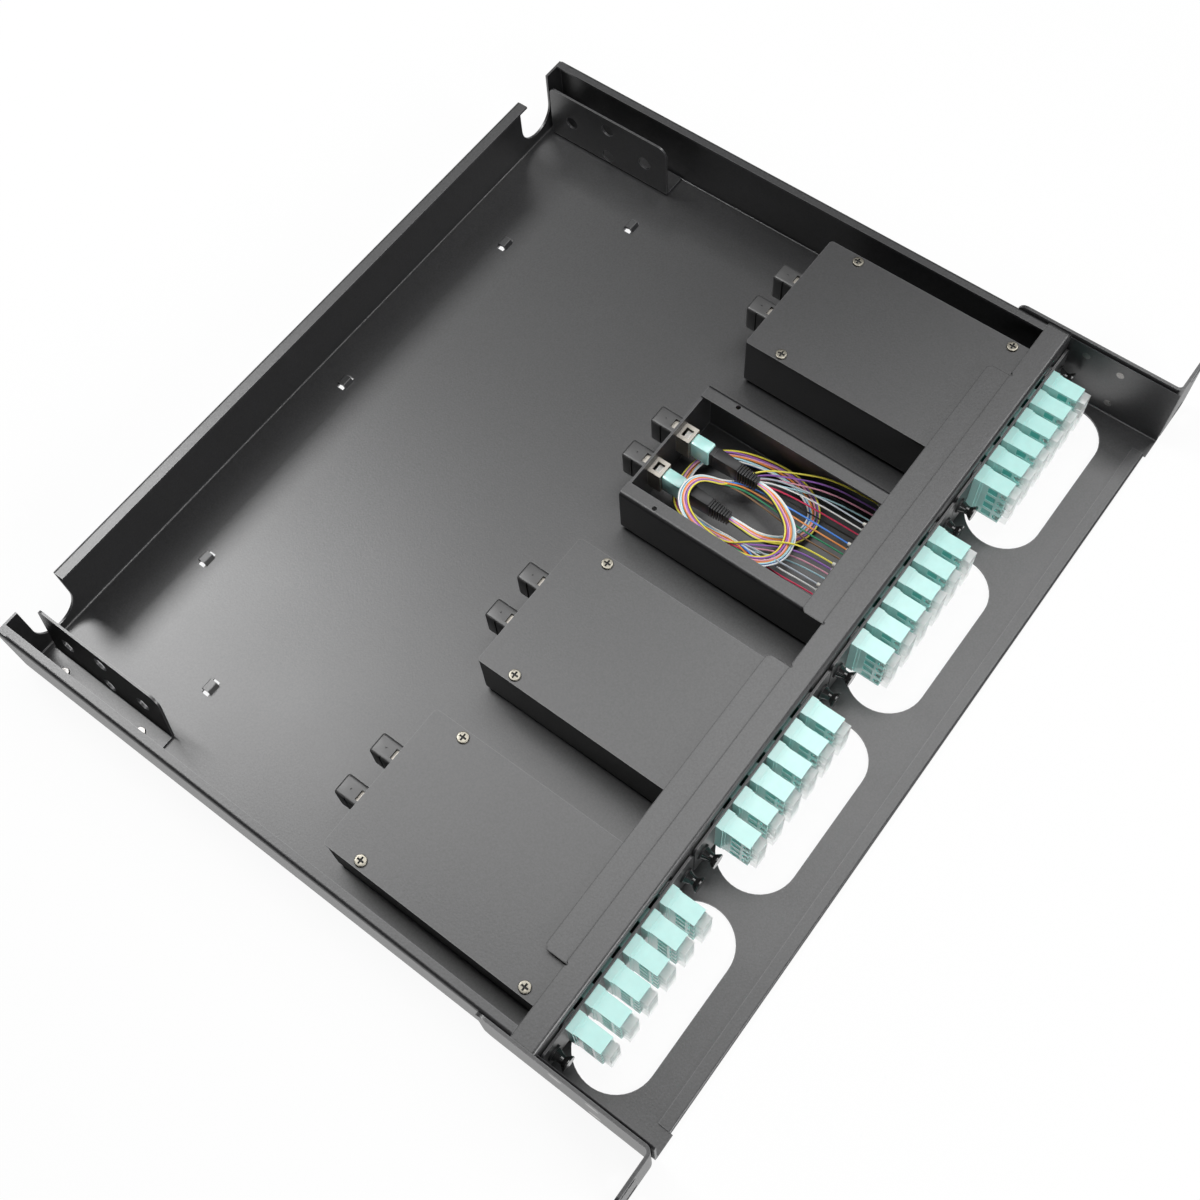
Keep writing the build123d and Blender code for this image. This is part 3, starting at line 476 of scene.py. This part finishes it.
def cut_away(piece, cutter):
    """Take one piece's shape out of another."""
    finish_with(piece, "BOOLEAN", operation="DIFFERENCE", object=cutter, solver="EXACT")
    bpy.data.objects.remove(cutter)
    return piece


def join_pieces(name, parts):
    """Join parts into one piece."""
    begin()
    for part in parts:
        part.select_set(True)
    bpy.context.view_layer.objects.active = parts[0]
    bpy.ops.object.join()
    parts[0].name = name
    return parts[0]


def copy_at(piece, name, shift):
    """A copy with its own mesh, moved in its mesh."""
    twin = bpy.data.objects.new(name, piece.data.copy())
    bpy.context.scene.collection.objects.link(twin)
    twin.data.transform(Matrix.Translation(Vector(shift)))
    return twin


def smooth(piece, angle=40):
    """Shade smooth except across sharp edges."""
    begin()
    piece.select_set(True)
    bpy.context.view_layer.objects.active = piece
    bpy.ops.object.shade_smooth_by_angle(angle=math.radians(angle))
    return piece


def case_middle(number):
    """The middle of a cassette's case, across the frame."""
    low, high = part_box(f"cassette_{number}_case")
    return (low.x + high.x) / 2


def wear(piece, paint):
    """Give a piece one finish."""
    piece.data.materials.clear()
    piece.data.materials.append(paint)
    return piece


# Cross-head screws

HEAD_RADIUS = 2.9 * MM
HEAD_HEIGHT = 1.0 * MM
SHANK_RADIUS = 1.2 * MM


def cross_head():
    """A low screw head that stands at the origin, with a cross recess in its top."""
    head = new_rod("lid_screw", (0, 0, 0), HEAD_RADIUS, HEAD_HEIGHT)
    round_edges(head, HEAD_HEIGHT * 0.35, 3)
    recess_depth = 0.6 * HEAD_HEIGHT
    arm = HEAD_RADIUS * 0.62
    arm_half_width = HEAD_RADIUS * 0.16
    for half_x, half_y in ((arm, arm_half_width), (arm_half_width, arm)):
        cutter = new_block("recess", (-half_x, -half_y, HEAD_HEIGHT - recess_depth),
                           (half_x, half_y, HEAD_HEIGHT + MM))
        cut_away(head, cutter)
    wear(head, nickel)
    # Painted shade: the faces inside the cross recess get near-black instead of the plating.
    head.data.materials.append(painted_recess_shadow)
    for face in head.data.polygons:
        near_middle = face.center.xy.length < arm * 1.02
        if near_middle and 0.1 * HEAD_HEIGHT < face.center.z < HEAD_HEIGHT * 0.95:
            face.material_index = 1
    return smooth(head, 35)


def lid_screws():
    """Four screw heads and shanks on each lid."""
    model = cross_head()
    for number in CASSETTES:
        node = f"cassette_{number}_lid_screws"
        if node not in nodes:
            continue
        low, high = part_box(node)
        parts = []
        for x in (low.x + HEAD_RADIUS, high.x - HEAD_RADIUS):
            for y in (low.y + HEAD_RADIUS, high.y - HEAD_RADIUS):
                parts.append(copy_at(model, "head", (x, y, high.z - HEAD_HEIGHT)))
                shank_length = high.z - HEAD_HEIGHT - low.z
                shank = new_rod("shank", (x, y, low.z), SHANK_RADIUS, shank_length, sides=16)
                parts.append(wear(shank, nickel))
        screws = join_pieces(f"cassette_{number}_cross_head_screws", parts)
        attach(screws, f"cassette_{number}")
        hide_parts(node)
    bpy.data.objects.remove(model)


# Rear caps

CAP_LENGTH = 10.3 * MM
CAP_EDGE = 1.4 * MM
SKIRT_REACH = 2.9 * MM
SLEEVE_HALF_WIDTH = 4.8 * MM
SLEEVE_HALF_HEIGHT = 7.2 * MM
NOTCH_HALF_WIDTH = 2.6 * MM
NOTCH_DEPTH = 2.9 * MM
GROOVE_START = 3.4 * MM
GROOVE_LENGTH = 0.9 * MM
GROOVE_DEPTH = 0.6 * MM
DOT_PLACE = 4.2 * MM
DOT_RADIUS = 0.45 * MM
DOT_DEPTH = 0.4 * MM
STEM_HALF_WIDTH = 3.5 * MM
STEM_MARGIN = 2.3 * MM
STEM_OVERLAP = 0.5 * MM
STEM_EDGE = 0.4 * MM


def soft_cap(name, low, high):
    """One cap: a skirt round the adapter with a notch at its end, side grooves, a vent dot and a stem."""
    adapter_end = high.y - CAP_LENGTH
    skirt_end = adapter_end - SKIRT_REACH
    groove_y = adapter_end + GROOVE_START
    middle_x = (low.x + high.x) / 2
    middle_z = (low.z + high.z) / 2
    cap = new_block(name, (low.x, skirt_end - 2 * CAP_EDGE, low.z), high)
    round_edges(cap, CAP_EDGE, 4)
    trim = new_block("trim", (low.x - MM, low.y - 5 * MM, low.z - MM), (high.x + MM, skirt_end, high.z + MM))
    cut_away(cap, trim)
    hollow = new_block(
        "hollow", (middle_x - SLEEVE_HALF_WIDTH, skirt_end - MM, middle_z - SLEEVE_HALF_HEIGHT),
        (middle_x + SLEEVE_HALF_WIDTH, adapter_end, middle_z + SLEEVE_HALF_HEIGHT))
    cut_away(cap, hollow)
    notch = new_block("notch", (middle_x - NOTCH_HALF_WIDTH, skirt_end - MM, low.z - MM),
                      (middle_x + NOTCH_HALF_WIDTH, skirt_end + NOTCH_DEPTH, high.z + MM))
    cut_away(cap, notch)
    for edge in (low.x, high.x):
        groove = new_block("groove", (edge - GROOVE_DEPTH, groove_y, low.z - MM),
                           (edge + GROOVE_DEPTH, groove_y + GROOVE_LENGTH, high.z + MM))
        cut_away(cap, groove)
    dot = new_rod("dot", (middle_x, adapter_end + DOT_PLACE, high.z - DOT_DEPTH), DOT_RADIUS, MM, sides=16)
    cut_away(cap, dot)
    stem = new_block("stem", (middle_x - STEM_HALF_WIDTH, low.y, low.z + STEM_MARGIN),
                     (middle_x + STEM_HALF_WIDTH, adapter_end + STEM_OVERLAP, high.z - STEM_MARGIN))
    round_edges(stem, STEM_EDGE, 2)
    return join_pieces(name, [cap, stem])


def rear_caps():
    """The soft caps on the rear ports of every cassette."""
    for number in CASSETTES:
        for side in ("left", "right"):
            node = f"cassette_{number}_rear_cap_{side}"
            low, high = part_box(node)
            cap = soft_cap(f"cassette_{number}_soft_cap_{side}", low, high)
            wear(smooth(cap), cap_rubber)
            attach(cap, f"cassette_{number}_rear_cap_{side}_body")
            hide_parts(node)


# Plugs of the open cassette

BOOT_RIBS = 8
# In millimetres, with Y from the front edge
PLUG_BODY_FRONT_Y = 153.8
RIB_LENGTH = 0.75
SMALL_BOOT_START_Y = 83.4
SMALL_BOOT_RADIUS = 1.2
SMALL_BOOT_LENGTH = 4.6


def taper(piece, towards, factor):
    """Narrow the front end (-1) or the rear end (1) of a piece in edit mode."""
    begin()
    bpy.context.view_layer.objects.active = piece
    bpy.ops.object.mode_set(mode="EDIT")
    bpy.ops.mesh.select_all(action="DESELECT")
    bpy.ops.object.mode_set(mode="OBJECT")
    ends = [face for face in piece.data.polygons if face.normal.y * towards > 0.9]
    middle = sum((face.center for face in ends), Vector()) / len(ends)
    for face in ends:
        face.select = True
    bpy.ops.object.mode_set(mode="EDIT")
    bpy.ops.transform.resize(value=(factor, factor, factor), center_override=middle)
    bpy.ops.object.mode_set(mode="OBJECT")
    return piece


def axis_block(name, width, height, front_y, rear_y):
    """A block round a plug's axis, which runs to the rear through the origin."""
    return new_block(name, (-width / 2 * MM, (FRONT_EDGE + front_y) * MM, -height / 2 * MM),
                     (width / 2 * MM, (FRONT_EDGE + rear_y) * MM, height / 2 * MM))


def plug_block(name, width, height, front_y, rear_y, edge, paint):
    """A block round a plug's axis with softened edges and its finish."""
    piece = axis_block(name, width, height, front_y, rear_y)
    round_edges(piece, edge * MM, 2)
    return wear(smooth(piece), paint)


def trunk_plug():
    """A trunk plug: aqua shell, white nose, black neck and body, and a ribbed boot."""
    parts = [
        plug_block("shell", 7.0, 12.4, 170.4, 181.3, 0.9, aqua_plastic),
        plug_block("nose", 5.0, 10.6, 181.0, 186.4, 0.4, white_plastic),
        plug_block("neck", 5.4, 10.2, 167.6, 170.8, 0.3, black_plastic),
    ]
    body = axis_block("body", 6.4, 11.4, PLUG_BODY_FRONT_Y, 168.2)
    taper(body, -1, 0.86)
    round_edges(body, 0.7 * MM, 2)
    parts.append(wear(smooth(body), black_plastic))
    core = axis_block("core", 4.0, 6.6, BOOT_END_Y, PLUG_BODY_FRONT_Y + 0.5)
    taper(core, -1, 0.72)
    parts.append(wear(core, black_plastic))
    rib_pitch = (PLUG_BODY_FRONT_Y - BOOT_END_Y) / BOOT_RIBS
    for rib in range(BOOT_RIBS):
        rear_y = PLUG_BODY_FRONT_Y - rib * rib_pitch
        width = 5.9 - 0.22 * rib
        height = 9.3 - 0.26 * rib
        parts.append(plug_block("rib", width, height, rear_y - RIB_LENGTH, rear_y, 0.2, black_plastic))
    return join_pieces("trunk_plug_model", parts)


def small_plug():
    """The plug behind one front port, with its short round boot."""
    body = plug_block("body", 4.6, 4.6, 76.0, 83.5, 0.4, cream_plastic)
    boot = new_rod("boot", (0, (FRONT_EDGE + SMALL_BOOT_START_Y) * MM, 0), SMALL_BOOT_RADIUS * MM,
                   SMALL_BOOT_LENGTH * MM, "Y", 16)
    taper(boot, 1, 0.75)
    return join_pieces("small_plug_model", [body, wear(smooth(boot), cream_plastic)])


def open_cassette_plugs():
    """Two trunk plugs at the rear and one small plug behind each front port."""
    middle = case_middle(OPEN_CASSETTE)
    trunk = trunk_plug()
    small = small_plug()
    parts = []
    for side in (-1, 1):
        parts.append(copy_at(trunk, "trunk", (middle + side * REAR_PORT_OFFSET * MM, 0, BOOT_END_Z * MM)))
    for column in range(COLUMNS):
        x = middle + (column - MIDDLE_COLUMN) * COLUMN_PITCH * MM
        for row in range(ROWS):
            z = (ROW_MIDDLE + (row - MIDDLE_ROW) * ROW_PITCH) * MM
            parts.append(copy_at(small, "small", (x, 0, z)))
    for model in (trunk, small):
        bpy.data.objects.remove(model)
    plugs = join_pieces("open_cassette_plugs", parts)
    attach(plugs, f"cassette_{OPEN_CASSETTE}")
    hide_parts(f"cassette_{OPEN_CASSETTE}_fibre_plugs")


# Fibres of the open cassette

FIBRE_RADIUS = 0.45 * MM

# The middle place of a layer's six fibres, and how far the low layer is shifted, both in steps
MIDDLE_FIBRE = 2.5
LOW_LAYER_SHIFT = 0.4
# The step to the next fibre, half the rise between layers, the sways and the run into a plug, in millimetres
FIBRE_STEP = 0.95
LAYER_HALF_GAP = 0.45
SWAY_ACROSS = 0.3
SWAY_UP = 0.25
STRAIGHT_RUN = 6

# Each bundle's route, as places across, back from the front edge and up, with how far the fibres spread
RIGHT_BUNDLE = [
    (12, 142.5, 22.5, 0.45), (12, 136.5, 22.5, 0.6), (8.8, 126.5, 21.5, 0.9), (3, 117, 20, 1.0),
    (-5, 112.5, 20, 1.1), (-14, 112, 20, 1.1), (-21.5, 116.5, 21, 1.1), (-26, 124, 22.5, 1.0),
    (-27.5, 133, 23.5, 0.9), (-27.2, 143, 24.5, 0.9), (-26.5, 153, 26, 0.9), (-24, 161, 29, 0.9),
    (-19, 166, 31.3, 0.9), (-12, 167.3, 31.5, 0.9), (-5.5, 165.5, 30, 0.8), (0, 162, 24, 0.7),
    (5, 158.3, 17, 0.6),
]
LEFT_BUNDLE = [
    (-12, 142.5, 22.5, 0.45), (-12, 137.2, 22.5, 0.6), (-9.8, 128, 17, 0.8), (-4, 120, 12, 0.9),
    (3, 114.5, 9, 1.0), (10.5, 112, 8.5, 1.1), (18, 112.5, 8.5, 1.2), (24.5, 117, 8.5, 1.3),
    (28.5, 124.5, 8.5, 1.4), (30.5, 133.5, 9, 1.4), (30.3, 143, 9.5, 1.3), (28.5, 152.5, 10, 1.2),
    (26, 161, 10.5, 1.1), (22, 169, 11, 1.0), (16, 175.3, 11.5, 0.9), (8, 177.5, 11.5, 0.9),
    (0, 177.2, 11.5, 1.0), (-8, 175.5, 11.5, 1.1), (-14.5, 171, 11.5, 1.1), (-18, 163.5, 12, 1.0),
    (-19, 154.5, 12.5, 0.9), (-18.5, 145.5, 13, 0.8), (-17.5, 138, 13, 0.8),
]
RIGHT_LEGS = [
    [(9, 150, 15.2), (9, 138, 15.4), (8, 124, 15.8), (6.8, 112, 16.6)],
    [(13, 150, 13.6), (18.5, 141, 14.4), (20.2, 127, 15.4), (19.8, 112, 18)],
    [(14, 152, 12.6), (21.5, 145.5, 13.4), (27, 132, 14.6), (31.5, 114, 18.5)],
]
LEFT_LEGS = [
    [(-19, 129, 12), (-24, 119, 12), (-30.5, 108, 13)],
    [(-17.5, 129, 13), (-18.5, 119, 13.5), (-19.5, 108, 14.5)],
    [(-15.5, 129, 14), (-10.5, 119, 14.5), (-7, 108, 15.5)],
]
# The colours of each column of ports, from its top row to its lowest
COLUMN_COLOURS = [("blue", "orange", "green", "brown"), ("slate", "white", "red", "black"),
                  ("yellow", "violet", "rose", "aqua")]
# The fibres of a bundle from the outside of its turn to the inside, in two layers
TOP_LAYER = ("white", "aqua", "orange", "rose", "violet", "yellow")
LOW_LAYER = ("blue", "slate", "brown", "green", "red", "black")


def across(points, index):
    """The level direction square to a route at one of its points, towards the inside of the turn."""
    before = points[max(index - 1, 0)]
    after = points[min(index + 1, len(points) - 1)]
    run = Vector((after[0] - before[0], after[1] - before[1]))
    return Vector((run.y, -run.x)).normalized()


def fibre_points(bundle, leg, colour, row, port_x):
    """Control points of one fibre: in its place of the bundle, along its leg, into its plug."""
    in_top = colour in TOP_LAYER
    layer = TOP_LAYER if in_top else LOW_LAYER
    place = layer.index(colour)
    step_across = (place - MIDDLE_FIBRE + (0 if in_top else LOW_LAYER_SHIFT)) * FIBRE_STEP
    step_up = LAYER_HALF_GAP if in_top else -LAYER_HALF_GAP
    sway = place * 2.1 + (0 if in_top else 1)
    points = []
    for index, (x, y, z, fan) in enumerate(bundle):
        sway_across = SWAY_ACROSS * fan * math.sin(sway + index * 0.9)
        sway_up = SWAY_UP * fan * math.sin(sway + index * 1.3)
        shift = across(bundle, index) * (step_across * fan + sway_across)
        points.append((x + shift.x, y + shift.y, z + step_up + sway_up))
    port_z = ROW_MIDDLE + (MIDDLE_ROW - row) * ROW_PITCH
    last_z = leg[-1][2]
    for index, (x, y, z) in enumerate(leg):
        share = (index + 1) / (len(leg) + 1)
        shift = across(leg, index) * (row - MIDDLE_ROW) * (0.9 + 0.8 * share)
        points.append((x + shift.x, y + shift.y, z + (port_z - last_z) * share * 0.75))
    points.append((port_x, SMALL_BOOT_END_Y + STRAIGHT_RUN, port_z))
    points.append((port_x, SMALL_BOOT_END_Y, port_z))
    return points


def fibre(name, points, shift_x, jacket):
    """One fibre as a smooth round cord along its control points, made a mesh."""
    begin()
    curve = bpy.data.curves.new(name, "CURVE")
    curve.dimensions = "3D"
    curve.bevel_depth = FIBRE_RADIUS
    curve.bevel_resolution = 2
    curve.resolution_u = 6
    curve.use_fill_caps = True
    spline = curve.splines.new("NURBS")
    spline.points.add(len(points) - 1)
    for target, (x, y, z) in zip(spline.points, points):
        target.co = (shift_x + x * MM, (FRONT_EDGE + y) * MM, z * MM, 1)
    spline.order_u = 3
    spline.use_endpoint_u = True
    cord = bpy.data.objects.new(name, curve)
    bpy.context.scene.collection.objects.link(cord)
    cord.select_set(True)
    bpy.context.view_layer.objects.active = cord
    bpy.ops.object.convert(target="MESH")
    return wear(cord, jacket)


def open_cassette_fibres():
    """Twenty-four coloured fibres: two bundles that turn in the case and fan out to the ports."""
    middle = case_middle(OPEN_CASSETTE)
    cords = []
    for bundle, legs, first_column in ((RIGHT_BUNDLE, RIGHT_LEGS, 0.5), (LEFT_BUNDLE, LEFT_LEGS, -2.5)):
        for group, (leg, colours) in enumerate(zip(legs, COLUMN_COLOURS)):
            port_x = (first_column + group) * COLUMN_PITCH
            for row, colour in enumerate(colours):
                points = fibre_points(bundle, leg, colour, row, port_x)
                cords.append(fibre(f"fibre_{len(cords) + 1}", points, middle, fibre_jackets[colour]))
    fibres = join_pieces("open_cassette_fibres", cords)
    smooth(fibres)
    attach(fibres, f"cassette_{OPEN_CASSETTE}")
    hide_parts(f"cassette_{OPEN_CASSETTE}_fibre_harness")


camera()
studio()
paint_frame()
paint_recess_shade()
lid_screws()
rear_caps()
open_cassette_plugs()
open_cassette_fibres()

bpy.context.scene.view_settings.view_transform = "Standard"
